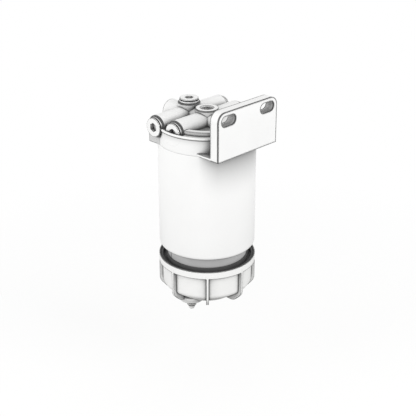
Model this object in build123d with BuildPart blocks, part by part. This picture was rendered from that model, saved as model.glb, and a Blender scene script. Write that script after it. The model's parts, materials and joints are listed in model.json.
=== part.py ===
from build123d import *
import os
from math import atan2, cos, hypot, pi, radians, sin

os.makedirs("parts", exist_ok=True)

# Fuel water separator: a cast mounting head with its bracket, a screw-on filter can below it,
# and a ribbed water bowl with a drain valve below the can.
#
# Frame, in millimetres: the origin is the middle of the two bracket slots, on the face that bolts
# to the wall. +Y points into the wall and +Z is up. The upright axis of the filter stands
# stand_off in front of the wall.

# Bracket plate
wall_gap = 6.0
plate_width = 90.3
plate_rise = 9.9
plate_thickness = 11.4
plate_corner = 10.0
slot_spacing = 59.0
slot_length = 21.0
slot_width = 11.0
shelf_thickness = 3.0

# Mounting head
port_drop = 23.2
seat_drop = 42.9
can_radius = 54.0
bead_radius = 1.35
bead_reach = 1.4
bead_above_ports = -0.65
ledge_above_ports = 0.2
ring_inset = 6.0
ring_wall = 6.8
ring_above_ports = 4.5
ring_fillet = 0.8
barrel_radius = 12.5
front_barrel_inset = 5.3
rear_barrel_inset = 7.3
barrel_spacing = 27.5
front_port_overhang = 3.0
boss_height = 16.0
drum_wall = 10.0
post_radius = 15.0
roof_above_seat = 9.5

# Ports, galleries and plugs
port_bore = 7.5
port_depth = 13.0
gallery_radius = 5.5
inlet_drop_radius = 4.0
thread_clearance = 0.08
spot_face_gap = 0.3
pocket_clearance = 0.7
pocket_wall = 0.8
plug_shank_length = 10.5
seal_thickness = 1.1
seal_radius = 11.8
plug_collar_radius = 10.8
plug_collar_height = 2.1
plug_groove_radius = 9.3
plug_groove_height = 0.9
plug_face_radius = 10.3
plug_face_height = 1.2
plug_chamfer = 0.3
socket_flats = 8.5
socket_depth = 4.0

# Hollow stud between the head and the can
stud_radius = 10.0
stud_in_head = 11.5
stud_in_can = 20.0
stud_chamfer = 1.0

# Filter can
seat_gap = 0.1
can_length = 123.2
can_sheet = 1.0
can_top_fillet = 0.3
can_bottom_fillet = 4.0
can_lip = 2.2
retainer_sheet = 0.8
gasket_inset = 3.0
gasket_width = 4.2
gasket_height = 4.2
gasket_gap = 0.2
retainer_ridge = 3.2
retainer_margin = 4.0
tapping_thickness = 5.0
tapping_boss_radius = 14.0
tapping_boss_height = 5.0
inlet_hole_radius = 4.0
inlet_hole_circle = 26.0
inlet_hole_count = 8
fit_gap = 0.2

# Filter element
element_seal_height = 4.0
element_seal_radius = 15.5
end_cap_sheet = 0.8
element_gap = 5.5
end_cap_skirt = 5.0
pleat_gap = 0.5
pleat_to_tube = 3.0
pleat_sheet = 0.8
pleat_count = 36
tube_radius = 18.0
tube_wall = 0.8
tube_hole_radius = 3.0
tube_hole_rows = 4
tube_holes_per_row = 6

# Threaded collar under the can, which the bowl screws on to
neck_inset = 9.0
neck_length = 12.7
collar_wall = 6.0
collar_flange_width = 4.0
collar_flange_height = 3.0
spigot_step = 1.0
spigot_length = 16.0
notch_width = 1.6
notch_depth = 1.6
notch_angle = -20.0
spring_sheet = 0.8
spring_height = 11.7
spring_arm_width = 10.0
spring_hub_radius = 16.0

# Water bowl
rim_below_neck = 1.1
rim_overhang = 0.87
rim_height = 8.2
rim_wall = 0.87
recess_depth = 2.1
recess_step = 1.8
pit_depth = 6.5
rib_reach = 4.07
bowl_wall = 4.0
bowl_thread_length = 15.0
bowl_side = 34.6
bowl_height = 48.2
cone_run = 18.8
bowl_corner_fillet = 6.0
bowl_thread_gap = 0.3
rib_count = 8
rib_thickness = 2.9
rib_corner_drop = 2.3
rib_fillet = 12.0
rib_toe_fillet = 13.0
rib_root = 1.5

# Gasket in the bowl's rim
bowl_gasket_gap = 0.1
bowl_gasket_step = 0.8
bowl_gasket_step_width = 0.9
bowl_gasket_lip = 2.0
bowl_gasket_wall = 1.6
bowl_gasket_floor = 1.3

# Drain and sensor ports under the bowl
drain_inset = 6.6
drain_boss_radius = 13.8
drain_boss_drop = 4.2
drain_boss_fillet = 0.8
drain_thread_radius = 4.4
drain_seat_radius = 2.4
drain_seat_height = 1.2
drain_counterbore_radius = 6.2
drain_counterbore_depth = 1.6
valve_gap = 0.3
valve_clearance = 0.1
valve_collar_radius = 5.4
valve_collar_height = 7.2
valve_groove_radius = 4.0
valve_groove_height = 0.9
valve_tip_radius = 4.5
valve_tip_end_radius = 2.9
valve_tip_height = 4.2
valve_bore = 1.6
valve_cross_hole = 0.8
valve_nose_radius = 3.2
valve_nose_height = 1.8
drain_ring_radius = 0.75
sensor_thread_radius = 6.0
sensor_seal_radius = 8.6
sensor_plug_flats = 17.0
sensor_plug_height = 5.0
sensor_plug_shank = 7.0

# Radii and reaches worked out from the sizes above
stand_off = can_radius + wall_gap
ring_outer = can_radius - ring_inset
ring_inner = ring_outer - ring_wall
cavity_radius = can_radius - drum_wall
front_barrel_half = can_radius - front_barrel_inset
rear_barrel_half = can_radius - rear_barrel_inset
front_port_reach = can_radius + front_port_overhang
gasket_outer = can_radius - gasket_inset
gasket_inner = gasket_outer - gasket_width
can_inside = can_radius - can_sheet
retainer_inner = inlet_hole_circle + inlet_hole_radius + retainer_margin
end_cap_radius = can_inside - element_gap
pleat_outer = end_cap_radius - end_cap_sheet - pleat_gap
pleat_inner = tube_radius + pleat_to_tube
neck_radius = can_radius - neck_inset
spigot_radius = neck_radius - spigot_step
collar_bore = spigot_radius - collar_wall
collar_flange_radius = neck_radius + collar_flange_width
rim_radius = can_radius + rim_overhang
recess_radius = rim_radius - rim_wall
pit_radius = recess_radius - recess_step
bowl_radius = rim_radius - rib_reach
bowl_floor_radius = bowl_radius - cone_run
drain_offset = bowl_floor_radius - drain_inset

# Heights worked out from the sizes above
port_z = -port_drop
seat_z = -seat_drop
ledge_z = port_z + ledge_above_ports
ring_top_z = port_z + ring_above_ports
boss_top_z = port_z + boss_height
can_top_z = seat_z - seat_gap
can_bottom_z = can_top_z - can_length
neck_z = can_bottom_z - neck_length
rim_z = neck_z - rim_below_neck
front_barrel_y = -stand_off - barrel_spacing

# Planes and axes that everything is placed by
spin = Axis((0, -stand_off, 0), (0, 0, 1))
section = Plane((0, -stand_off, 0), x_dir=(1, 0, 0), z_dir=(0, -1, 0))
wall_face = Plane((0, 0, 0), x_dir=(-1, 0, 0), z_dir=(0, 1, 0))


def level(z, x=0.0, y=-stand_off):
    """Horizontal plane at height z, centred on the filter's axis unless told otherwise."""
    return Plane((x, y, z))


def upright(angle):
    """Upright plane through the filter's axis: local x runs outwards, local y runs up."""
    a = radians(angle)
    return Plane((0, -stand_off, 0), x_dir=(cos(a), sin(a), 0), z_dir=(sin(a), -cos(a), 0))


def section_at(port):
    """Plane for a turned profile about the port's axis: local x is the radius, y is outwards."""
    return Plane(port.origin, x_dir=port.x_dir, z_dir=-port.y_dir)


# Mouths of the ports, each with local z pointing out of the hole
front_right = Plane((front_barrel_half, front_barrel_y, port_z), x_dir=(0, 0, 1), z_dir=(1, 0, 0))
front_left = Plane((-front_barrel_half, front_barrel_y, port_z), x_dir=(0, 0, 1), z_dir=(-1, 0, 0))
rear_right = Plane((rear_barrel_half, -stand_off, port_z), x_dir=(0, 0, 1), z_dir=(1, 0, 0))
rear_left = Plane((-rear_barrel_half, -stand_off, port_z), x_dir=(0, 0, 1), z_dir=(-1, 0, 0))
vent = Plane((0, front_barrel_y, boss_top_z), x_dir=(-1, 1, 0), z_dir=(0, 0, 1))
outlet = Plane((0, -stand_off, boss_top_z), x_dir=(1, 0, 0), z_dir=(0, 0, 1))
inlet = Plane((0, -stand_off - front_port_reach, port_z), x_dir=(1, 0, 0), z_dir=(0, -1, 0))

plugged_ports = {
    "front_right": front_right,
    "front_left": front_left,
    "rear_right": rear_right,
    "rear_left": rear_left,
    "vent": vent,
}

# Mounting head: one casting with the drum over the can, two barrels, a cross passage, two bosses
# and the bracket plate
plug_head_height = seal_thickness + plug_collar_height + plug_groove_height + plug_face_height
pocket_depth = barrel_radius + pocket_clearance

with BuildPart() as rear_pocket:
    with BuildSketch(level(port_z - pocket_depth)):
        Circle(can_radius - pocket_wall)
    extrude(amount=2 * pocket_depth)
    with BuildSketch(Plane.YZ.offset(-can_radius)):
        with Locations((-stand_off, port_z)):
            Circle(pocket_depth)
    extrude(amount=2 * can_radius, mode=Mode.INTERSECT)
    with BuildSketch(Plane.YZ.offset(-rear_barrel_half)):
        with Locations((-stand_off, port_z)):
            Circle(pocket_depth + pocket_clearance)
    extrude(amount=2 * rear_barrel_half, mode=Mode.SUBTRACT)

with BuildPart() as mounting_head:
    # Drum, with the raised ring on its top
    with BuildSketch(section):
        with BuildLine():
            Polyline(
                (0, seat_z),
                (can_radius, seat_z),
                (can_radius, ledge_z),
                (ring_outer, ledge_z),
                (ring_outer, ring_top_z),
                (ring_inner, ring_top_z),
                (ring_inner, ledge_z),
                (0, ledge_z),
                close=True,
            )
        make_face()
    revolve(axis=spin)
    ring_edges = mounting_head.edges().filter_by(GeomType.CIRCLE).filter_by_position(
        Axis.Z, ring_top_z - 0.01, ring_top_z + 0.01
    )
    fillet(ring_edges, ring_fillet)

    # Straight-sided block under the front barrel, and the shelf behind the plate
    with BuildSketch(level(seat_z, y=front_barrel_y)):
        Rectangle(2 * front_barrel_half, 2 * barrel_radius)
    extrude(amount=port_z - seat_z)
    shelf_tip = (can_radius**2 - (plate_width / 2) ** 2) ** 0.5
    with BuildSketch(level(seat_z, y=-stand_off + (shelf_tip + stand_off - plate_thickness) / 2)):
        Rectangle(plate_width, stand_off - plate_thickness - shelf_tip)
    extrude(amount=shelf_thickness)

    # Ring-shaped inlet chamber, open towards the can, round the post for the stud
    with BuildSketch(level(seat_z)):
        Circle(cavity_radius)
        Circle(post_radius, mode=Mode.SUBTRACT)
    extrude(amount=roof_above_seat, mode=Mode.SUBTRACT)

    # Rolled bead round the top of the drum
    with BuildSketch(section):
        with Locations((can_radius + bead_reach - bead_radius, port_z + bead_above_ports)):
            Circle(bead_radius)
    revolve(axis=spin)

    # Pockets in the drum round the rear barrel's plugs, and stepped seats round the front ones
    add(rear_pocket.part, mode=Mode.SUBTRACT)
    for port in (front_right, front_left):
        with BuildSketch(port):
            Circle(seal_radius + spot_face_gap)
        extrude(amount=seal_thickness + spot_face_gap, mode=Mode.SUBTRACT)
        with BuildSketch(port):
            Circle(plug_collar_radius + spot_face_gap)
        extrude(amount=plug_head_height, mode=Mode.SUBTRACT)

    # Barrels from side to side, and the cross passage from the inlet back to the plate
    for half, y in ((front_barrel_half, front_barrel_y), (rear_barrel_half, -stand_off)):
        with BuildSketch(Plane.YZ.offset(-half)):
            with Locations((y, port_z)):
                Circle(barrel_radius)
        extrude(amount=2 * half)
    with BuildSketch(inlet):
        Circle(barrel_radius)
    extrude(amount=-(stand_off + front_port_reach - plate_thickness))

    # Upright bosses for the vent and the outlet
    for y in (front_barrel_y, -stand_off):
        with BuildSketch(level(port_z, y=y)):
            Circle(barrel_radius)
        extrude(amount=boss_height)

    # Bracket plate with its two slots
    with BuildSketch(wall_face) as plate_outline:
        with Locations((0, (plate_rise - seat_drop) / 2)):
            Rectangle(plate_width, plate_rise + seat_drop)
        fillet(plate_outline.vertices().group_by(Axis.Y)[-1], plate_corner)
        with Locations((-slot_spacing / 2, 0), (slot_spacing / 2, 0)):
            SlotOverall(slot_length, slot_width, mode=Mode.SUBTRACT)
    extrude(amount=-plate_thickness)

    # Port holes, and the galleries that join them inside the barrels
    for port in (*plugged_ports.values(), inlet, outlet):
        with BuildSketch(port):
            Circle(port_bore)
        extrude(amount=-port_depth, mode=Mode.SUBTRACT)
    for port, reach in (
        (front_right, 2 * front_barrel_half),
        (rear_right, 2 * rear_barrel_half),
        (vent, boss_height),
        (outlet, boss_height),
        (inlet, front_port_reach - barrel_spacing),
    ):
        with BuildSketch(port):
            Circle(gallery_radius)
        extrude(amount=-reach, mode=Mode.SUBTRACT)

    # Drop from the front gallery into the chamber, and the hole for the stud
    with BuildSketch(level(port_z, y=front_barrel_y)):
        Circle(inlet_drop_radius)
    extrude(amount=seat_z - port_z, mode=Mode.SUBTRACT)
    with BuildSketch(level(port_z)):
        Circle(gallery_radius)
    extrude(amount=seat_z - port_z, mode=Mode.SUBTRACT)
    with BuildSketch(level(seat_z)):
        Circle(stud_radius)
    extrude(amount=stud_in_head + seat_gap, mode=Mode.SUBTRACT)

mounting_head.part.label = "mounting_head"
export_step(mounting_head.part, "parts/mounting_head.step")


# Port plugs and their flat seals
def build_port_seal(port, label):
    """Flat rubber ring between the plug's collar and the face of the port."""
    with BuildPart() as port_seal:
        with BuildSketch(port):
            Circle(seal_radius)
            Circle(port_bore, mode=Mode.SUBTRACT)
        extrude(amount=seal_thickness)
    port_seal.part.label = label
    export_step(port_seal.part, f"parts/{label}.step")


def build_port_plug(port, label):
    """Turned plug with a grooved head and a hexagon socket."""
    shank = port_bore - thread_clearance
    collar_top = seal_thickness + plug_collar_height
    groove_top = collar_top + plug_groove_height
    with BuildPart() as port_plug:
        with BuildSketch(section_at(port)):
            with BuildLine():
                Polyline(
                    (0, -plug_shank_length),
                    (shank - plug_face_height, -plug_shank_length),
                    (shank, -plug_shank_length + plug_face_height),
                    (shank, seal_thickness),
                    (plug_collar_radius, seal_thickness),
                    (plug_collar_radius, collar_top),
                    (plug_groove_radius, collar_top),
                    (plug_groove_radius, groove_top),
                    (plug_face_radius, groove_top),
                    (plug_face_radius, plug_head_height - plug_chamfer),
                    (plug_face_radius - plug_chamfer, plug_head_height),
                    (0, plug_head_height),
                    close=True,
                )
            make_face()
        revolve(axis=Axis(port.origin, port.z_dir))
        with BuildSketch(port.offset(plug_head_height)):
            RegularPolygon(radius=socket_flats / 2, side_count=6, major_radius=False)
        extrude(amount=-socket_depth, mode=Mode.SUBTRACT)
    port_plug.part.label = label
    export_step(port_plug.part, f"parts/{label}.step")


for place, mouth in plugged_ports.items():
    build_port_seal(mouth, f"{place}_seal")
    build_port_plug(mouth, f"{place}_plug")

# Hollow stud that carries the can
with BuildPart() as centre_stud:
    stud = stud_radius - thread_clearance
    with BuildSketch(section):
        with BuildLine():
            Polyline(
                (gallery_radius, seat_z - stud_in_can),
                (stud - stud_chamfer, seat_z - stud_in_can),
                (stud, seat_z - stud_in_can + stud_chamfer),
                (stud, seat_z + stud_in_head - stud_chamfer),
                (stud - stud_chamfer, seat_z + stud_in_head),
                (gallery_radius, seat_z + stud_in_head),
                close=True,
            )
        make_face()
    revolve(axis=spin)
centre_stud.part.label = "centre_stud"
export_step(centre_stud.part, "parts/centre_stud.step")

# Can shell: drawn sheet steel, turned in at the top and open at the bottom for the collar
with BuildPart() as can_shell:
    with BuildSketch(section):
        with BuildLine():
            Polyline(
                (neck_radius + fit_gap, can_bottom_z),
                (can_radius, can_bottom_z),
                (can_radius, can_top_z),
                (can_radius - can_lip, can_top_z),
                (can_radius - can_lip, can_top_z - can_sheet),
                (can_inside, can_top_z - can_sheet),
                (can_inside, can_bottom_z + can_sheet),
                (neck_radius + fit_gap, can_bottom_z + can_sheet),
                close=True,
            )
        make_face()
    revolve(axis=spin)
    rings = can_shell.edges().filter_by(GeomType.CIRCLE)
    outer_rings = rings.filter_by(lambda ring: abs(ring.radius - can_radius) < 0.01)
    inner_rings = rings.filter_by(lambda ring: abs(ring.radius - can_inside) < 0.01)
    fillet(outer_rings.sort_by(Axis.Z)[-1], can_top_fillet)
    fillet(outer_rings.sort_by(Axis.Z)[0], can_bottom_fillet)
    fillet(inner_rings.sort_by(Axis.Z)[0], can_bottom_fillet - can_sheet)
can_shell.part.label = "can_shell"
export_step(can_shell.part, "parts/can_shell.step")

# Top gasket, and the pressed ring that holds it under the can's turned-in edge
gasket_floor_z = seat_z - gasket_height
retainer_top_z = can_top_z - can_sheet
tapping_top_z = gasket_floor_z - retainer_sheet
inside_radius = can_inside - fit_gap

with BuildPart() as top_gasket:
    with BuildSketch(level(gasket_floor_z)):
        Circle(gasket_outer)
        Circle(gasket_inner, mode=Mode.SUBTRACT)
    extrude(amount=gasket_height)
top_gasket.part.label = "top_gasket"
export_step(top_gasket.part, "parts/top_gasket.step")

with BuildPart() as gasket_retainer:
    channel_inner = gasket_inner - gasket_gap
    channel_outer = gasket_outer + gasket_gap
    ridge_inner = channel_inner - retainer_ridge
    with BuildSketch(section):
        with BuildLine():
            Polyline(
                (inside_radius, retainer_top_z),
                (channel_outer, retainer_top_z),
                (channel_outer, gasket_floor_z),
                (channel_inner, gasket_floor_z),
                (channel_inner, retainer_top_z),
                (ridge_inner, retainer_top_z),
                (ridge_inner, gasket_floor_z),
                (retainer_inner, gasket_floor_z),
                (retainer_inner, tapping_top_z),
                (ridge_inner + retainer_sheet, tapping_top_z),
                (ridge_inner + retainer_sheet, retainer_top_z - retainer_sheet),
                (channel_inner - retainer_sheet, retainer_top_z - retainer_sheet),
                (channel_inner - retainer_sheet, tapping_top_z),
                (channel_outer + retainer_sheet, tapping_top_z),
                (channel_outer + retainer_sheet, retainer_top_z - retainer_sheet),
                (inside_radius, retainer_top_z - retainer_sheet),
                close=True,
            )
        make_face()
    revolve(axis=spin)
gasket_retainer.part.label = "gasket_retainer"
export_step(gasket_retainer.part, "parts/gasket_retainer.step")

# Thick tapping plate: threaded for the stud, with a ring of inlet holes
tapping_bottom_z = tapping_top_z - tapping_thickness
boss_bottom_z = tapping_bottom_z - tapping_boss_height

with BuildPart() as tapping_plate:
    with BuildSketch(level(tapping_top_z)):
        Circle(inside_radius)
    extrude(amount=-tapping_thickness)
    with BuildSketch(level(tapping_bottom_z)):
        Circle(tapping_boss_radius)
    extrude(amount=-tapping_boss_height)
    with BuildSketch(level(tapping_top_z)):
        Circle(stud_radius)
        with PolarLocations(inlet_hole_circle, inlet_hole_count):
            Circle(inlet_hole_radius)
    extrude(amount=boss_bottom_z - tapping_top_z, mode=Mode.SUBTRACT)
tapping_plate.part.label = "tapping_plate"
export_step(tapping_plate.part, "parts/tapping_plate.step")

# Filter element: seal, end caps, pleated paper and the perforated centre tube
element_top_z = boss_bottom_z - element_seal_height
paper_top_z = element_top_z - end_cap_sheet
flange_z = can_bottom_z + can_sheet
collar_top_z = flange_z + collar_flange_height
element_bottom_z = collar_top_z + spring_height
paper_bottom_z = element_bottom_z + end_cap_sheet
element_length = paper_top_z - paper_bottom_z

with BuildPart() as element_seal:
    with BuildSketch(level(element_top_z)):
        Circle(element_seal_radius)
        Circle(stud_radius + 2 * fit_gap, mode=Mode.SUBTRACT)
    extrude(amount=element_seal_height)
element_seal.part.label = "element_seal"
export_step(element_seal.part, "parts/element_seal.step")

with BuildPart() as upper_end_cap:
    with BuildSketch(level(element_top_z)):
        Circle(end_cap_radius)
        Circle(stud_radius + 2 * fit_gap, mode=Mode.SUBTRACT)
    extrude(amount=-end_cap_sheet)
    with BuildSketch(level(paper_top_z)):
        Circle(end_cap_radius)
        Circle(end_cap_radius - end_cap_sheet, mode=Mode.SUBTRACT)
    extrude(amount=-end_cap_skirt)
upper_end_cap.part.label = "upper_end_cap"
export_step(upper_end_cap.part, "parts/upper_end_cap.step")

with BuildPart() as lower_end_cap:
    with BuildSketch(level(element_bottom_z)):
        Circle(end_cap_radius)
    extrude(amount=end_cap_sheet)
    with BuildSketch(level(paper_bottom_z)):
        Circle(end_cap_radius)
        Circle(end_cap_radius - end_cap_sheet, mode=Mode.SUBTRACT)
    extrude(amount=end_cap_skirt)
lower_end_cap.part.label = "lower_end_cap"
export_step(lower_end_cap.part, "parts/lower_end_cap.step")


def pleat_star(crest, root):
    """Corners of a star with a crest and a root for each pleat."""
    corners = []
    for k in range(2 * pleat_count):
        r = crest if k % 2 == 0 else root
        corners.append((r * cos(pi * k / pleat_count), r * sin(pi * k / pleat_count)))
    return corners


with BuildPart() as pleated_media:
    half_pitch = pi / pleat_count
    fold_angle = atan2(pleat_inner * sin(half_pitch), pleat_outer - pleat_inner * cos(half_pitch))
    fold_depth = pleat_sheet / sin(fold_angle)
    with BuildSketch(level(paper_bottom_z)):
        with BuildLine():
            Polyline(*pleat_star(pleat_outer, pleat_inner + fold_depth), close=True)
        make_face()
        with BuildLine():
            Polyline(*pleat_star(pleat_outer - fold_depth, pleat_inner), close=True)
        make_face(mode=Mode.SUBTRACT)
    extrude(amount=element_length)
pleated_media.part.label = "pleated_media"
export_step(pleated_media.part, "parts/pleated_media.step")

with BuildPart() as centre_tube:
    with BuildSketch(level(paper_bottom_z)):
        Circle(tube_radius)
        Circle(tube_radius - tube_wall, mode=Mode.SUBTRACT)
    extrude(amount=element_length)
    row_pitch = element_length / tube_hole_rows
    for row in range(tube_hole_rows):
        z = paper_bottom_z + (row + 0.5) * row_pitch
        for k in range(tube_holes_per_row // 2):
            side = upright((k + 0.5 * (row % 2)) * 360 / tube_holes_per_row)
            across = Plane((0, -stand_off, z), x_dir=side.z_dir, z_dir=side.x_dir)
            with BuildSketch(across):
                Circle(tube_hole_radius)
            extrude(amount=tube_radius + tube_wall, both=True, mode=Mode.SUBTRACT)
centre_tube.part.label = "centre_tube"
export_step(centre_tube.part, "parts/centre_tube.step")

# Threaded collar: its flange rests on the can's bottom, its neck and spigot stand out below
spigot_z = neck_z - spigot_length

with BuildPart() as lower_collar:
    with BuildSketch(section):
        with BuildLine():
            Polyline(
                (collar_bore, spigot_z),
                (spigot_radius - stud_chamfer, spigot_z),
                (spigot_radius, spigot_z + stud_chamfer),
                (spigot_radius, neck_z),
                (neck_radius, neck_z),
                (neck_radius, flange_z),
                (collar_flange_radius, flange_z),
                (collar_flange_radius, collar_top_z),
                (collar_bore, collar_top_z),
                close=True,
            )
        make_face()
    revolve(axis=spin)
    notch = upright(notch_angle)
    notch_place = notch.origin + notch.x_dir * neck_radius
    with BuildSketch(Plane(notch_place + Vector(0, 0, neck_z), x_dir=notch.x_dir, z_dir=(0, 0, 1))):
        Rectangle(2 * notch_depth, notch_width)
    extrude(amount=neck_length, mode=Mode.SUBTRACT)
lower_collar.part.label = "lower_collar"
export_step(lower_collar.part, "parts/lower_collar.step")

# Four-armed plate spring that presses the element up from the collar's flange
spring_foot = collar_flange_radius - fit_gap

with BuildPart() as element_spring:
    with BuildSketch(section):
        with BuildLine():
            Polyline(
                (0, element_bottom_z),
                (spring_hub_radius, element_bottom_z),
                (collar_bore, collar_top_z + spring_sheet),
                (spring_foot, collar_top_z + spring_sheet),
                (spring_foot, collar_top_z),
                (collar_bore, collar_top_z),
                (spring_hub_radius, element_bottom_z - spring_sheet),
                (0, element_bottom_z - spring_sheet),
                close=True,
            )
        make_face()
    revolve(axis=spin)
    with BuildSketch(level(collar_top_z - 1)):
        Circle(spring_hub_radius)
        Rectangle(2 * collar_flange_radius, spring_arm_width)
        Rectangle(spring_arm_width, 2 * collar_flange_radius)
    extrude(amount=element_bottom_z - collar_top_z + 2, mode=Mode.INTERSECT)
element_spring.part.label = "element_spring"
export_step(element_spring.part, "parts/element_spring.step")

# Water bowl: a turned form with eight ribs and two bosses, hollowed in steps
step_z = rim_z - recess_depth
pit_z = rim_z - pit_depth
thread_end_z = pit_z - bowl_thread_length
bowl_corner_z = rim_z - bowl_side
bowl_floor_z = rim_z - bowl_height
rib_corner_z = bowl_corner_z - rib_corner_drop
rib_toe = rim_radius - (rib_corner_z - bowl_floor_z)
boss_bottom_face = bowl_floor_z - drain_boss_drop

# The inner cone runs parallel to the outer one, a wall's thickness inside it
cone_drop = bowl_corner_z - bowl_floor_z
cone_shift = bowl_wall * (hypot(cone_run, cone_drop) - cone_drop) / cone_run
bowl_bore = spigot_radius + bowl_thread_gap
bowl_inner = bowl_radius - bowl_wall
inner_floor_z = bowl_floor_z + bowl_wall
inner_corner_z = bowl_corner_z + cone_shift
inner_floor_radius = bowl_inner - (inner_corner_z - inner_floor_z) * cone_run / cone_drop
drain_seat_z = inner_floor_z - drain_seat_height

with BuildPart() as water_bowl:
    with BuildSketch(section):
        with BuildLine():
            Polyline(
                (0, bowl_floor_z),
                (bowl_floor_radius, bowl_floor_z),
                (bowl_radius, bowl_corner_z),
                (bowl_radius, rim_z - rim_height),
                (rim_radius, rim_z - rim_height),
                (rim_radius, rim_z),
                (0, rim_z),
                close=True,
            )
        make_face()
    revolve(axis=spin)
    wall_rings = water_bowl.edges().filter_by(GeomType.CIRCLE).filter_by(
        lambda ring: abs(ring.radius - bowl_radius) < 0.01
    )
    fillet(wall_rings.sort_by(Axis.Z)[0], bowl_corner_fillet)

    # Ribs with a round shoulder and a 45 degree slope down to the level of the floor
    for k in range(rib_count):
        with BuildSketch(upright(360 * k / rib_count)) as rib:
            with BuildLine():
                Polyline(
                    (bowl_radius - rib_root, rim_z - rim_height / 2),
                    (rim_radius, rim_z - rim_height / 2),
                    (rim_radius, rib_corner_z),
                    (rib_toe, bowl_floor_z),
                    (bowl_floor_radius - rib_root, bowl_floor_z),
                    (bowl_floor_radius - rib_root, bowl_floor_z + rib_root),
                    (bowl_radius - rib_root, bowl_corner_z + rib_root),
                    close=True,
                )
            make_face()
            shoulder = rib.vertices().group_by(Axis.X)[-1].sort_by(Axis.Y)[0]
            fillet(shoulder, rib_fillet)
            toe = rib.vertices().group_by(Axis.Y)[0].sort_by(Axis.X)[-1]
            fillet(toe, rib_toe_fillet)
        extrude(amount=rib_thickness / 2, both=True)

    # Bosses for the drain valve and the sensor port
    for x in (drain_offset, -drain_offset):
        with BuildSketch(level(boss_bottom_face, x=x)):
            Circle(drain_boss_radius)
        extrude(amount=inner_floor_z - boss_bottom_face)
    boss_rims = water_bowl.edges().filter_by(GeomType.CIRCLE).filter_by_position(
        Axis.Z, boss_bottom_face - 0.01, boss_bottom_face + 0.01
    )
    fillet(boss_rims, drain_boss_fillet)

    # Water space, thread bore, and the stepped recess for the gasket
    with BuildSketch(section):
        with BuildLine():
            Polyline(
                (0, inner_floor_z),
                (inner_floor_radius, inner_floor_z),
                (bowl_inner, inner_corner_z),
                (bowl_inner, thread_end_z),
                (bowl_bore, thread_end_z + bowl_inner - bowl_bore),
                (bowl_bore, pit_z),
                (pit_radius, pit_z),
                (pit_radius, step_z),
                (recess_radius, step_z),
                (recess_radius, rim_z),
                (0, rim_z),
                close=True,
            )
        make_face()
    revolve(axis=spin, mode=Mode.SUBTRACT)

    # Drain hole with its seat, thread and seal counterbore, and the sensor port
    with BuildSketch(level(boss_bottom_face, x=drain_offset)):
        Circle(drain_counterbore_radius)
    extrude(amount=drain_counterbore_depth, mode=Mode.SUBTRACT)
    with BuildSketch(level(boss_bottom_face, x=drain_offset)):
        Circle(drain_thread_radius)
    extrude(amount=drain_seat_z - boss_bottom_face, mode=Mode.SUBTRACT)
    with BuildSketch(level(drain_seat_z, x=drain_offset)):
        Circle(drain_seat_radius)
    extrude(amount=drain_seat_height, mode=Mode.SUBTRACT)
    with BuildSketch(level(boss_bottom_face, x=-drain_offset)):
        Circle(sensor_thread_radius)
    extrude(amount=inner_floor_z - boss_bottom_face, mode=Mode.SUBTRACT)
water_bowl.part.label = "water_bowl"
export_step(water_bowl.part, "parts/water_bowl.step")

# Gasket in the bowl's recess: an outer land, a groove and a lip that meets the neck's shoulder
with BuildPart() as bowl_gasket:
    lip_inner = bowl_bore + bowl_gasket_gap
    lip_outer = lip_inner + bowl_gasket_lip
    groove_outer = pit_radius - bowl_gasket_gap - bowl_gasket_wall
    groove_z = pit_z + bowl_gasket_floor
    land_outer = recess_radius - bowl_gasket_gap
    land_z = rim_z - bowl_thread_gap
    with BuildSketch(section):
        with BuildLine():
            Polyline(
                (lip_inner, pit_z),
                (pit_radius - bowl_gasket_gap, pit_z),
                (pit_radius - bowl_gasket_gap, step_z),
                (land_outer, step_z),
                (land_outer, land_z),
                (land_outer - bowl_gasket_step_width, land_z),
                (land_outer - bowl_gasket_step_width, land_z - bowl_gasket_step),
                (groove_outer, land_z - bowl_gasket_step),
                (groove_outer, groove_z),
                (lip_outer, groove_z),
                (lip_outer, neck_z),
                (lip_inner, neck_z),
                close=True,
            )
        make_face()
    revolve(axis=spin)
bowl_gasket.part.label = "bowl_gasket"
export_step(bowl_gasket.part, "parts/bowl_gasket.step")

# Hexagon plug and flat seal in the sensor port
sensor_mouth = Plane((-drain_offset, -stand_off, boss_bottom_face), x_dir=(1, 0, 0), z_dir=(0, 0, -1))

with BuildPart() as sensor_seal:
    with BuildSketch(sensor_mouth):
        Circle(sensor_seal_radius)
        Circle(sensor_thread_radius, mode=Mode.SUBTRACT)
    extrude(amount=seal_thickness)
sensor_seal.part.label = "sensor_seal"
export_step(sensor_seal.part, "parts/sensor_seal.step")

with BuildPart() as sensor_plug:
    with BuildSketch(sensor_mouth.offset(seal_thickness)):
        RegularPolygon(radius=sensor_plug_flats / 2, side_count=6, major_radius=False)
    extrude(amount=sensor_plug_height)
    with BuildSketch(sensor_mouth.offset(seal_thickness)):
        Circle(sensor_thread_radius - thread_clearance)
    extrude(amount=-sensor_plug_shank)
sensor_plug.part.label = "sensor_plug"
export_step(sensor_plug.part, "parts/sensor_plug.step")

# Drain valve: a threaded stem with a nose on the seat, a grip below, and a tapered outlet
valve_section = Plane((drain_offset, -stand_off, 0), x_dir=(1, 0, 0), z_dir=(0, -1, 0))
valve_axis = Axis((drain_offset, -stand_off, 0), (0, 0, 1))
stem_radius = drain_thread_radius - valve_clearance
shoulder_z = boss_bottom_face - valve_gap
grip_bottom_z = shoulder_z - valve_collar_height
outlet_top_z = grip_bottom_z - valve_groove_height
outlet_end_z = outlet_top_z - valve_tip_height
nose_root_z = drain_seat_z - valve_nose_height
cross_hole_z = nose_root_z + valve_cross_hole

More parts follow.
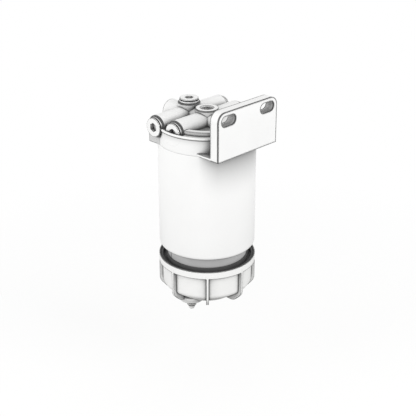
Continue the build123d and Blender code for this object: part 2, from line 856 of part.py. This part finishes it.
with BuildPart() as drain_valve:
    with BuildSketch(valve_section):
        with BuildLine():
            Polyline(
                (0, outlet_end_z),
                (valve_tip_end_radius, outlet_end_z),
                (valve_tip_radius, outlet_top_z),
                (valve_groove_radius, outlet_top_z),
                (valve_groove_radius, grip_bottom_z),
                (valve_collar_radius, grip_bottom_z),
                (valve_collar_radius, shoulder_z),
                (stem_radius, shoulder_z),
                (stem_radius, nose_root_z),
                (valve_nose_radius, nose_root_z),
                (valve_nose_radius, drain_seat_z),
                (0, drain_seat_z),
                close=True,
            )
        make_face()
    revolve(axis=valve_axis)
    with BuildSketch(level(outlet_end_z, x=drain_offset)):
        Circle(valve_bore)
    extrude(amount=cross_hole_z - outlet_end_z, mode=Mode.SUBTRACT)
    with BuildSketch(Plane((drain_offset, -stand_off, cross_hole_z), x_dir=(0, 1, 0), z_dir=(1, 0, 0))):
        Circle(valve_cross_hole)
    extrude(amount=stem_radius, both=True, mode=Mode.SUBTRACT)
drain_valve.part.label = "drain_valve"
export_step(drain_valve.part, "parts/drain_valve.step")

# Round ring on the grip's shoulder, in the counterbore of the drain boss
with BuildPart() as drain_o_ring:
    ring_path = (stem_radius + drain_counterbore_radius) / 2
    with BuildSketch(valve_section):
        with Locations((ring_path, shoulder_z + drain_ring_radius)):
            Circle(drain_ring_radius)
    revolve(axis=valve_axis)
drain_o_ring.part.label = "drain_o_ring"
export_step(drain_o_ring.part, "parts/drain_o_ring.step")
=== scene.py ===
import json
from math import cos, pi, radians, sin

import bmesh
import bpy
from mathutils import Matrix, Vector


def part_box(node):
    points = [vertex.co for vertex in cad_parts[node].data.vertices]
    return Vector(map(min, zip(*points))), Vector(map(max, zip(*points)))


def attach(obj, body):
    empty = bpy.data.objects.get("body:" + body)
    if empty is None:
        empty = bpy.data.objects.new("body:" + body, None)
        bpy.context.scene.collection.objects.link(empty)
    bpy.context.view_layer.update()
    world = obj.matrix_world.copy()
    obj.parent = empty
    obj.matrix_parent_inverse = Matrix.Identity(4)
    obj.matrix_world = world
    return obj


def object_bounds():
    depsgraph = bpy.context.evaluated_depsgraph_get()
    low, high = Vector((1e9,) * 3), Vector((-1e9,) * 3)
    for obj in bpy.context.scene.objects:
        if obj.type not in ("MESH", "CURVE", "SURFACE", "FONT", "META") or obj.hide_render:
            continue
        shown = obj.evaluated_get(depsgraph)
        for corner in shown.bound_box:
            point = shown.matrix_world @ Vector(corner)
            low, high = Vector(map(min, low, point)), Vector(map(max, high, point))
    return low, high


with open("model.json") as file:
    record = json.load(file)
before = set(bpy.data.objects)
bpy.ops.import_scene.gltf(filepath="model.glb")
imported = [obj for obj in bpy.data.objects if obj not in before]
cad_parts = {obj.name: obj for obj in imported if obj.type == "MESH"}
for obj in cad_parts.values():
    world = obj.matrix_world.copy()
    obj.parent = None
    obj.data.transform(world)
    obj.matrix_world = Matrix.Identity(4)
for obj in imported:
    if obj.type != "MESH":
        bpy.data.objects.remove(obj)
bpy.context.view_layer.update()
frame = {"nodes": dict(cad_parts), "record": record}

mounts = {mount["name"]: mount for mount in frame["record"]["mounts"]}
mm_per_m = 1000

# Camera in the frame of the part, solved from the drawing
camera_place = Vector((0.70910, 0.63585, 0.32971))
camera_turn = 134.40
camera_height_angle = 24.66
camera_lens = 83.83
camera_sensor = 36.0
camera_near = 0.01
camera_far = 20.0

# Studio
white = (1.0, 1.0, 1.0, 1.0)
ambient = 0.78
floor_drop = 0.09
floor_half = 0.60
floor_solid = 0.15
floor_lift = 0.75
floor_white = (0.90, 0.90, 0.89, 1.0)
floor_roughness = 0.9
floor_shine = 0.1

# Samples of the nodes that find edges and corners
ray_samples = 8

# Match of rounded and flat normal at which wear begins and at which it is full
edge_match = (0.995, 0.978)

# Range that most values of the noise texture keep to
noise_range = (0.3, 0.7)

# Axis of the can, and circles round it as radius and height in metres
can_low, can_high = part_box("can_shell")
can_axis = (*mounts["outlet_port"]["pos_m"][:2], 0.0)
joint_circle = (can_high.x, -0.0429)
bead_circle = (0.05405, -0.02345)
bead_foot = (0.0541, -0.0253)
ring_edge = (0.0478, -0.0189)
boss_edge = (0.0126, -0.0083)

# Distances from joint and bead at which wear and painted shade begin and are full, in metres
joint_margin = (0.0012, 0.0022)
bead_margin = (0.0014, 0.0018)

# Radii between which painted shade begins at the outlet port, with none inside it
port_radius = mounts["outlet_port"]["dims"]["r_mm"] / mm_per_m
port_lip = (port_radius + 0.0002, port_radius + 0.0005)

# Widths of patches of wear, painted shade, colour and polish, in metres
wear_patch = 0.004
shade_patch = 0.010
colour_patch = 0.035
polish_patch = 0.012
metal_colour_patch = 0.006
metal_polish_patch = 0.002

# Painted shade in tight creases and in wide corners, with their reach in metres
crease_reach = 0.0026
shade_reach = 0.040
shade_strength = 0.45

# Share of thin painted corner shade that shows, and height in metres over which it fades in
thin_shade = 0.45
shade_fade = 0.04

# Worn lines round the head, as circle, half width in metres and strength
line_soft = 0.0005
worn_lines = (
    (ring_edge, 0.0006, 0.60),
    (bead_foot, 0.0006, 0.90),
    (boss_edge, 0.0007, 0.90),
)

# Worn rim of the plate, and the back from which its edges are worn, as y in metres
plate_rim = (-0.0016, -0.0002)
plate_back = (-0.0112, -0.0110)
plate_edge_radius = 0.0026
plate_edge_wear = 0.90

# Painted shade on the floor inside the raised ring, as radius and as distance from the floor's
# height
well_radius = (0.0404, 0.0412)
well_floor = -0.0230
well_fade = (0.0005, 0.0030)
well_shade = (0.55, 0.80)

# Painted shade on the ends of the block, as distance from the can's axis in x, as y and as height
barrel_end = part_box("front_right_seal")[0].x
block_end = (barrel_end - 0.0005, barrel_end - 0.0003)
block_back = (-0.0830, -0.0820)
block_top = (-0.0310, -0.0300)
block_shade = 0.36

# Painted shadow on the drum's wall under the bead
drum_wall = (0.0534, 0.0545)
bead_cut = 0.0002
under_bead = 0.0090
under_bead_shadow = 0.52

# Painted shadow of the plate on the can, as azimuth, distance that way from the axis and height
plate_shadow_azimuth = radians(100.0)
plate_shadow_reach = (0.0227, 0.0389)
plate_shadow_height = (-0.0970, -0.0430)
plate_shadow_strength = 0.90

# Dark foot of the can, as height
foot_seam = (can_low.z + 0.0012, can_low.z + 0.0022)
foot_seam_strength = 0.85

# Painted shade on the drain's boss and where it meets the wall, as radius and height
valve_low, valve_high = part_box("drain_valve")
drain_axis = ((valve_low.x + valve_high.x) / 2, (valve_low.y + valve_high.y) / 2, 0.0)
boss_radius = (0.0142, 0.0147)
boss_shade_top = (valve_low.z + 0.0164, valve_low.z + 0.0168)
boss_shade = 0.22
boss_join_height = (valve_low.z + 0.0182, valve_low.z + 0.0194)
boss_join_shade = 0.90

# Painted light on the drain valve's outlet, and painted shade in its groove and at its grip, as
# heights
valve_tip = (valve_low.z + 0.0041, valve_low.z + 0.0042)
valve_groove = (valve_low.z + 0.0039, valve_low.z + 0.0054)
valve_grip = (valve_low.z + 0.0070, valve_low.z + 0.0074)
valve_grip_shade = 0.95

# Threads that show inside the open ports, which start some turns below the mouth
thread_pitch = 0.0015
thread_depth = 0.0006
thread_half_width = 0.48 * thread_pitch
thread_turns = 6
thread_start = 1.2
thread_steps = 48


# Small helpers for node materials
def start_material(name):
    """New node material: gives the material, its tree and its surface shader."""
    material = bpy.data.materials.new(name)
    material.use_nodes = True
    tree = material.node_tree
    return material, tree, tree.nodes["Principled BSDF"]


def add_node(tree, kind, **settings):
    """New node with plain attributes set on it."""
    node = tree.nodes.new(kind)
    for key, value in settings.items():
        setattr(node, key, value)
    return node


def grey(tone, blue=None):
    """Opaque grey. A blue of its own makes it a little warmer or colder."""
    return tone, tone, tone if blue is None else blue, 1.0


def place_on(tree):
    """Place of the surface point in the frame of the part, in metres."""
    return add_node(tree, "ShaderNodeTexCoord").outputs["Object"]


def apart(tree, place):
    """The three coordinates of a place, each as its own value."""
    node = add_node(tree, "ShaderNodeSeparateXYZ")
    tree.links.new(place, node.inputs[0])
    return tuple(node.outputs)


def spread(tree, value, from_low, from_high, low, high):
    """Value moved from one range to another, and kept inside it."""
    node = add_node(tree, "ShaderNodeMapRange")
    node.inputs["From Min"].default_value = from_low
    node.inputs["From Max"].default_value = from_high
    node.inputs["To Min"].default_value = low
    node.inputs["To Max"].default_value = high
    tree.links.new(value, node.inputs["Value"])
    return node.outputs["Result"]


def rise(tree, value, start, full, strength=1.0):
    """Mask that is 0 up to start and has its full strength from full on."""
    return spread(tree, value, start, full, 0.0, strength)


def fall(tree, value, full, end, strength=1.0):
    """Mask that has its full strength up to full and is 0 from end on."""
    return spread(tree, value, full, end, strength, 0.0)


def noise(tree, size, low=0.0, high=1.0, detail=3.0):
    """Soft random value between low and high, with features about size metres across."""
    texture = add_node(tree, "ShaderNodeTexNoise")
    texture.inputs["Scale"].default_value = 1.0 / size
    texture.inputs["Detail"].default_value = detail
    tree.links.new(place_on(tree), texture.inputs["Vector"])
    return spread(tree, texture.outputs["Fac"], *noise_range, low, high)


def blend(tree, factor, first, second):
    """Colour between first and second. Each is a colour or a socket."""
    node = add_node(tree, "ShaderNodeMix", data_type="RGBA")
    tree.links.new(factor, node.inputs["Factor"])
    for name, colour in (("A", first), ("B", second)):
        socket = [s for s in node.inputs if s.name == name and s.type == "RGBA"][0]
        if isinstance(colour, tuple):
            socket.default_value = colour
        else:
            tree.links.new(colour, socket)
    return [s for s in node.outputs if s.type == "RGBA"][0]


def joined(tree, operation, first, *others):
    """Values joined one after another by the same operation."""
    for other in others:
        node = add_node(tree, "ShaderNodeMath", operation=operation)
        tree.links.new(first, node.inputs[0])
        tree.links.new(other, node.inputs[1])
        first = node.outputs[0]
    return first


def product(tree, first, *others):
    """Product of values."""
    return joined(tree, "MULTIPLY", first, *others)


def away_from(tree, value, middle):
    """Distance of a value from a middle one."""
    node = add_node(tree, "ShaderNodeMath", operation="SUBTRACT")
    node.inputs[1].default_value = middle
    tree.links.new(value, node.inputs[0])
    size = add_node(tree, "ShaderNodeMath", operation="ABSOLUTE")
    tree.links.new(node.outputs[0], size.inputs[0])
    return size.outputs[0]


def between(tree, value, low, high, soft=0.0001):
    """Mask that is 1 where a value lies between low and high."""
    return product(tree, rise(tree, value, low - soft, low), fall(tree, value, high, high + soft))


def off_axis(tree, axis=can_axis):
    """Vector to the surface point from the place where an upright axis has height 0."""
    shift = add_node(tree, "ShaderNodeVectorMath", operation="SUBTRACT")
    shift.inputs[1].default_value = axis
    tree.links.new(place_on(tree), shift.inputs[0])
    return shift.outputs[0]


def axis_reach(tree, axis=can_axis):
    """Distance from an upright axis, and height, of the surface point."""
    shift = off_axis(tree, axis)
    level = add_node(tree, "ShaderNodeVectorMath", operation="MULTIPLY")
    level.inputs[1].default_value = (1.0, 1.0, 0.0)
    tree.links.new(shift, level.inputs[0])
    reach = add_node(tree, "ShaderNodeVectorMath", operation="LENGTH")
    tree.links.new(level.outputs[0], reach.inputs[0])
    return reach.outputs["Value"], apart(tree, shift)[2]


def off_circle(tree, circle, near, far):
    """Mask that is 0 within near metres of a level circle round the can's axis, and 1 past far."""
    reach, height = axis_reach(tree)
    point = add_node(tree, "ShaderNodeCombineXYZ")
    tree.links.new(reach, point.inputs["X"])
    tree.links.new(height, point.inputs["Z"])
    gap = add_node(tree, "ShaderNodeVectorMath", operation="DISTANCE")
    gap.inputs[1].default_value = (circle[0], 0.0, circle[1])
    tree.links.new(point.outputs[0], gap.inputs[0])
    return rise(tree, gap.outputs["Value"], near, far)


def rounded(tree, radius):
    """Normal with the edges rounded to radius, and a mask that is 1 on those edges."""
    bevel = add_node(tree, "ShaderNodeBevel", samples=ray_samples)
    bevel.inputs["Radius"].default_value = radius
    flat = add_node(tree, "ShaderNodeNewGeometry").outputs["Normal"]
    match = add_node(tree, "ShaderNodeVectorMath", operation="DOT_PRODUCT")
    tree.links.new(bevel.outputs["Normal"], match.inputs[0])
    tree.links.new(flat, match.inputs[1])
    return bevel.outputs["Normal"], rise(tree, match.outputs["Value"], *edge_match)


def corners(tree, reach, shut=0.38, clear=0.90, strength=1.0):
    """Mask that is full in corners and 0 on surfaces with nothing within reach metres."""
    node = add_node(tree, "ShaderNodeAmbientOcclusion", samples=ray_samples)
    node.inputs["Distance"].default_value = reach
    return fall(tree, node.outputs["AO"], shut, clear, strength)


def relief(tree, shader, height, depth, normal=None):
    """Fine relief on the surface, depth metres deep."""
    node = add_node(tree, "ShaderNodeBump")
    node.inputs["Distance"].default_value = depth
    tree.links.new(height, node.inputs["Height"])
    if normal is not None:
        tree.links.new(normal, node.inputs["Normal"])
    tree.links.new(node.outputs["Normal"], shader.inputs["Normal"])


# Marks of single pieces
def in_well(tree):
    """Mask of painted shade on the floor inside the raised ring."""
    reach, height = axis_reach(tree)
    low = fall(tree, away_from(tree, height, well_floor), *well_fade)
    return product(tree, fall(tree, reach, *well_radius), low)


def on_block_ends(tree, x, y, z):
    """Mask of painted shade on the ends of the block under the front barrel."""
    end = rise(tree, away_from(tree, x, can_axis[0]), *block_end, block_shade)
    return product(tree, end, fall(tree, y, *block_back), fall(tree, z, *block_top))


def below_bead(tree):
    """Mask of painted shadow on the drum's wall just under the bead, that fades downwards."""
    reach, height = axis_reach(tree)
    top = bead_foot[1]
    near = rise(tree, height, top - under_bead, top, under_bead_shadow)
    wall = between(tree, reach, *drum_wall)
    return product(tree, near, near, wall, fall(tree, height, top, top + bead_cut))


def cast_marks(tree, body, shade_tone, edge):
    """Worn rim and edges of the plate, painted shade in the ring and on the block ends, painted
    shadow under the bead, and worn lines.
    """
    x, y, z = apart(tree, place_on(tree))
    rim = product(tree, between(tree, y, *plate_rim), noise(tree, wear_patch, low=0.80))
    body = blend(tree, rim, body, edge)
    plate = rise(tree, y, *plate_back, plate_edge_wear)
    body = blend(tree, product(tree, rounded(tree, plate_edge_radius)[1], plate), body, edge)
    # Patchy painted shade in the well inside the ring
    well = product(tree, in_well(tree), noise(tree, shade_patch, *well_shade))
    # Painted shade in the well and on the block ends, and painted shadow under the bead
    for mask in (well, on_block_ends(tree, x, y, z), below_bead(tree)):
        body = blend(tree, mask, body, shade_tone)
    for circle, half_width, strength in worn_lines:
        away = off_circle(tree, circle, half_width, half_width + line_soft)
        body = blend(tree, fall(tree, away, 0.0, 1.0, strength), body, edge)
    return body


def can_marks(tree, body, shade_tone, edge):
    """Painted shadow of the plate on the can, that fades downwards and to both sides, and a dark
    foot.
    """
    facing = add_node(tree, "ShaderNodeVectorMath", operation="DOT_PRODUCT")
    facing.inputs[1].default_value = (cos(plate_shadow_azimuth), sin(plate_shadow_azimuth), 0.0)
    tree.links.new(off_axis(tree), facing.inputs[0])
    sideways = rise(tree, facing.outputs["Value"], *plate_shadow_reach, plate_shadow_strength)
    height = axis_reach(tree)[1]
    upwards = rise(tree, height, *plate_shadow_height)
    # Painted shadow of the plate
    body = blend(tree, product(tree, upwards, upwards, sideways), body, shade_tone)
    return blend(tree, fall(tree, height, *foot_seam, foot_seam_strength), body, edge)


def bowl_marks(tree, body, shade_tone, edge):
    """Painted shade low on the drain's boss, and where it meets the wall."""
    reach, height = axis_reach(tree, drain_axis)
    # Painted shade low on the boss and at its join with the wall
    shaded_boss = fall(tree, reach, *boss_radius, boss_shade)
    body = blend(tree, product(tree, shaded_boss, fall(tree, height, *boss_shade_top)), body, shade_tone)
    top = fall(tree, reach, *boss_radius, boss_join_shade)
    return blend(tree, product(tree, top, rise(tree, height, *boss_join_height)), body, shade_tone)


def valve_marks(tree, body, shade_tone, edge):
    """Painted light on the outlet, and painted shade in the groove and round the top of the grip.
    """
    height = axis_reach(tree)[1]
    # Painted light: the outlet tip is paler
    body = blend(tree, fall(tree, height, *valve_tip), body, grey(0.93, 0.92))
    # Painted shade in the groove and round the top of the grip
    body = blend(tree, between(tree, height, *valve_groove), body, shade_tone)
    return blend(tree, rise(tree, height, *valve_grip, valve_grip_shade), body, shade_tone)


# Materials
def coat(name, pale, warm, edge, shade_tone, grain, depth, rough, edge_radius, corner_reach, marks=None,
         unshaded_below=-1.0):
    """Coated or moulded surface: two close tones, grain, worn edges and painted shade in corners.

    Marks is a function that adds the piece's own marks. No painted corner shade shows below the
    height given last.
    """
    material, tree, shader = start_material(name)
    normal, edges = rounded(tree, edge_radius)
    reach, height = axis_reach(tree)
    joint = off_circle(tree, joint_circle, *joint_margin)
    bead = off_circle(tree, bead_circle, *bead_margin)
    bore = rise(tree, reach, *port_lip)
    worn = product(tree, edges, noise(tree, wear_patch, low=0.75), joint, bead)
    above = rise(tree, height, unshaded_below, unshaded_below + shade_fade)
    # Painted shade in corners, fainter where it is thin
    corner_shade = product(tree, corners(tree, corner_reach), joint, bore, above)
    corner_shade = product(tree, corner_shade, spread(tree, corner_shade, 0.0, 1.0, thin_shade, 1.0))
    # Painted shade in tight creases, and wide painted shade in open corners
    crease_shade = product(tree, corners(tree, crease_reach, shut=0.52, clear=0.88), joint, bore)
    wide = corners(tree, shade_reach, shut=0.25, clear=0.85, strength=shade_strength)
    shade = product(tree, wide, bore)
    body = blend(tree, noise(tree, colour_patch), pale, warm)
    if marks:
        body = marks(tree, body, shade_tone, edge)
    # Painted shade laid on in the shade tone
    for mask in (shade, corner_shade, crease_shade):
        body = blend(tree, mask, body, shade_tone)
    body = blend(tree, worn, body, edge)
    tree.links.new(body, shader.inputs["Base Color"])
    tree.links.new(noise(tree, polish_patch, *rough), shader.inputs["Roughness"])
    relief(tree, shader, noise(tree, grain, detail=2.0), depth, normal)
    return material


def metal(name, pale, dark, edge, shade_tone, rough, grain, edge_radius, corner_reach):
    """Turned or plated metal with fine tool marks, worn edges and painted shade in the corners."""
    material, tree, shader = start_material(name)
    shader.inputs["Metallic"].default_value = 1.0
    normal, edges = rounded(tree, edge_radius)
    body = blend(tree, noise(tree, metal_colour_patch), pale, dark)
    # Painted shade in corners
    body = blend(tree, corners(tree, corner_reach), body, shade_tone)
    body = blend(tree, edges, body, edge)
    tree.links.new(body, shader.inputs["Base Color"])
    tree.links.new(noise(tree, metal_polish_patch, *rough), shader.inputs["Roughness"])
    relief(tree, shader, noise(tree, grain, detail=4.0), depth=0.000008, normal=normal)
    return material


def rubber(name):
    """Dull black rubber with a faint bloom and a fine moulded grain. Its dark tone also stands in
    for the shade in the recesses where it sits.
    """
    material, tree, shader = start_material(name)
    normal, edges = rounded(tree, radius=0.0003)
    body = blend(tree, noise(tree, size=0.009), grey(0.068, 0.069), grey(0.080))
    body = blend(tree, edges, body, grey(0.09))
    tree.links.new(body, shader.inputs["Base Color"])
    polish = noise(tree, size=0.005, low=0.55, high=0.75)
    tree.links.new(polish, shader.inputs["Roughness"])
    relief(tree, shader, noise(tree, size=0.0007, detail=2.0), depth=0.00003, normal=normal)
    return material


def paper(name):
    """Resin-treated filter paper with fibres."""
    material, tree, shader = start_material(name)
    mottle = noise(tree, size=0.004, detail=8.0)
    body = blend(tree, mottle, (0.78, 0.69, 0.48, 1.0), (0.86, 0.79, 0.60, 1.0))
    tree.links.new(body, shader.inputs["Base Color"])
    polish = noise(tree, size=0.002, low=0.75, high=0.95)
    tree.links.new(polish, shader.inputs["Roughness"])
    relief(tree, shader, noise(tree, size=0.0006, detail=6.0), depth=0.00006)
    return material


coats = {
    "cast_coating": dict(
        pale=grey(0.86, 0.855), warm=grey(0.83, 0.825), edge=grey(0.08), shade_tone=grey(0.06),
        grain=0.0011, depth=0.00004, rough=(0.42, 0.56), edge_radius=0.0014,
        corner_reach=0.015, marks=cast_marks,
    ),
    "can_enamel": dict(
        pale=grey(0.88, 0.875), warm=grey(0.865, 0.86), edge=grey(0.12), shade_tone=grey(0.20),
        grain=0.0025, depth=0.000025, rough=(0.30, 0.40), edge_radius=0.0014,
        corner_reach=0.034, marks=can_marks, unshaded_below=-0.12,
    ),
    "bowl_plastic": dict(
        pale=grey(0.91, 0.90), warm=grey(0.89, 0.88), edge=grey(0.11), shade_tone=grey(0.12),
        grain=0.0006, depth=0.00003, rough=(0.40, 0.52), edge_radius=0.0012,
        corner_reach=0.012, marks=bowl_marks,
    ),
    "valve_plastic": dict(
        pale=grey(0.56, 0.55), warm=grey(0.50, 0.49), edge=grey(0.03), shade_tone=grey(0.02),
        grain=0.0006, depth=0.00003, rough=(0.36, 0.48), edge_radius=0.0010,
        corner_reach=0.007, marks=valve_marks,
    ),
    "collar_metal": dict(
        pale=grey(0.52), warm=grey(0.49), edge=grey(0.25), shade_tone=grey(0.30),
        grain=0.0009, depth=0.00002, rough=(0.45, 0.60), edge_radius=0.0005,
        corner_reach=0.003,
    ),
}
metals = {
    "plug_metal": dict(
        pale=grey(0.86, 0.855), dark=grey(0.82, 0.815), edge=grey(0.08), shade_tone=grey(0.10),
        rough=(0.42, 0.55), grain=0.0004, edge_radius=0.0007, corner_reach=0.0048,
    ),
    "plated_steel": dict(
        pale=(0.66, 0.65, 0.62, 1.0), dark=(0.58, 0.57, 0.54, 1.0), edge=grey(0.75, 0.74),
        shade_tone=grey(0.20, 0.19), rough=(0.25, 0.38), grain=0.0005, edge_radius=0.0003,
        corner_reach=0.004,
    ),
}
finishes = {name: coat(name, **looks) for name, looks in coats.items()}
finishes |= {name: metal(name, **looks) for name, looks in metals.items()}
finishes |= {"rubber": rubber("black_rubber"), "filter_paper": paper("filter_paper")}

for entry in frame["record"]["subparts"]:
    for slot in frame["nodes"][entry["node"]].material_slots:
        slot.material = finishes[entry["material_slot"]]


# Objects
def new_object(name, data):
    """New object in the scene."""
    thing = bpy.data.objects.new(name, data)
    bpy.context.scene.collection.objects.link(thing)
    return thing


def mesh_object(name, mesh, material):
    """New object in the scene, made from a mesh under construction, which is used up."""
    data = bpy.data.meshes.new(name)
    mesh.to_mesh(data)
    mesh.free()
    data.materials.append(material)
    return new_object(name, data)


# Threads inside the two open ports
def helix_thread(name, mouth, outwards, radius):
    """Ridge that winds round the inside of a port, from just inside its mouth."""
    side = outwards.orthogonal().normalized()
    other = outwards.cross(side)
    flank = outwards * thread_half_width
    mesh = bmesh.new()
    rows = []
    for step in range(thread_turns * thread_steps + 1):
        angle = 2 * pi * step / thread_steps
        ray = side * cos(angle) + other * sin(angle)
        centre = mouth - outwards * thread_pitch * (thread_start + step / thread_steps)
        rows.append([
            mesh.verts.new(centre + ray * radius + flank),
            mesh.verts.new(centre + ray * (radius - thread_depth)),
            mesh.verts.new(centre + ray * radius - flank),
        ])
    for first, second in zip(rows, rows[1:]):
        for k in range(3):
            n = (k + 1) % 3
            mesh.faces.new((first[k], first[n], second[n], second[k]))
    mesh.faces.new(rows[0][::-1])
    mesh.faces.new(rows[-1])
    mesh.normal_update()
    bmesh.ops.recalc_face_normals(mesh, faces=mesh.faces)
    piece = mesh_object(name, mesh, finishes["cast_coating"])
    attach(piece, "head")


for name in ("outlet_port", "inlet_port"):
    port = mounts[name]
    outwards = Vector(port["axis"])
    half_length = port["dims"]["length_mm"] / mm_per_m / 2
    mouth = Vector(port["pos_m"]) + outwards * half_length
    helix_thread(f"{name}_thread", mouth, outwards, port["dims"]["r_mm"] / mm_per_m)


# Floor
def floor_material():
    """Pale floor that keeps the shadows near the part and fades into the white beyond it."""
    material, tree, shader = start_material("studio_floor")
    shader.inputs["Base Color"].default_value = floor_white
    shader.inputs["Roughness"].default_value = floor_roughness
    shader.inputs["Specular IOR Level"].default_value = floor_shine
    length = add_node(tree, "ShaderNodeVectorMath", operation="LENGTH")
    tree.links.new(place_on(tree), length.inputs[0])
    fade = rise(tree, length.outputs["Value"], floor_solid, floor_half)
    paths = add_node(tree, "ShaderNodeLightPath")
    glow = add_node(tree, "ShaderNodeEmission")
    tree.links.new(paths.outputs["Is Camera Ray"], glow.inputs["Strength"])
    lift = add_node(tree, "ShaderNodeMixShader")
    lift.inputs["Fac"].default_value = floor_lift
    tree.links.new(shader.outputs[0], lift.inputs[1])
    tree.links.new(glow.outputs[0], lift.inputs[2])
    clear = add_node(tree, "ShaderNodeBsdfTransparent")
    join = add_node(tree, "ShaderNodeMixShader")
    tree.links.new(fade, join.inputs["Fac"])
    tree.links.new(lift.outputs[0], join.inputs[1])
    tree.links.new(clear.outputs[0], join.inputs[2])
    tree.links.new(join.outputs[0], tree.nodes["Material Output"].inputs["Surface"])
    return material


low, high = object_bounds()
centre = (low + high) / 2
floor_mesh = bmesh.new()
bmesh.ops.create_grid(floor_mesh, x_segments=1, y_segments=1, size=floor_half)
floor = mesh_object("studio_floor", floor_mesh, floor_material())
floor.location = (centre.x, centre.y, low.z - floor_drop)


# Lamps
def softbox(name, azimuth, elevation, distance, size, power):
    """Square area light that faces the middle of the part. Angles are in degrees."""
    a = radians(azimuth)
    e = radians(elevation)
    direction = Vector((cos(a) * cos(e), sin(a) * cos(e), sin(e)))
    light = bpy.data.lights.new(name, "AREA")
    light.shape = "SQUARE"
    light.size = size
    light.energy = power
    lamp = new_object(name, light)
    lamp.location = centre + direction * distance
    lamp.rotation_mode = "QUATERNION"
    lamp.rotation_quaternion = direction.to_track_quat("Z", "Y")


softbox("high_softbox", azimuth=102.0, elevation=30.0, distance=1.2, size=0.6, power=4.7)
softbox("side_softbox", azimuth=-22.0, elevation=20.0, distance=1.3, size=0.7, power=5.0)
softbox("low_softbox", azimuth=36.0, elevation=12.0, distance=1.3, size=0.6, power=2.8)


# Background, white where it is seen and dimmer as light
def background(tree, strength):
    """White background of the given strength."""
    node = add_node(tree, "ShaderNodeBackground")
    node.inputs["Color"].default_value = white
    node.inputs["Strength"].default_value = strength
    return node.outputs[0]


world = bpy.data.worlds.new("studio")
world.use_nodes = True
bpy.context.scene.world = world
tree = world.node_tree
tree.nodes.clear()
paths = add_node(tree, "ShaderNodeLightPath")
white_rays = ("Is Camera Ray", "Is Glossy Ray", "Is Transmission Ray")
seen = joined(tree, "MAXIMUM", *(paths.outputs[name] for name in white_rays))
choice = add_node(tree, "ShaderNodeMixShader")
tree.links.new(seen, choice.inputs[0])
tree.links.new(background(tree, ambient), choice.inputs[1])
tree.links.new(background(tree, 1.0), choice.inputs[2])
output = add_node(tree, "ShaderNodeOutputWorld")
tree.links.new(choice.outputs[0], output.inputs["Surface"])

# Camera
camera_data = bpy.data.cameras.new("camera")
camera_data.lens = camera_lens
camera_data.sensor_width = camera_sensor
camera_data.clip_start = camera_near
camera_data.clip_end = camera_far
camera = new_object("camera", camera_data)
camera.location = camera_place
camera.rotation_euler = (radians(90 - camera_height_angle), 0.0, radians(camera_turn))
bpy.context.scene.camera = camera
bpy.context.scene.view_settings.view_transform = "Standard"

bpy.context.view_layer.update()
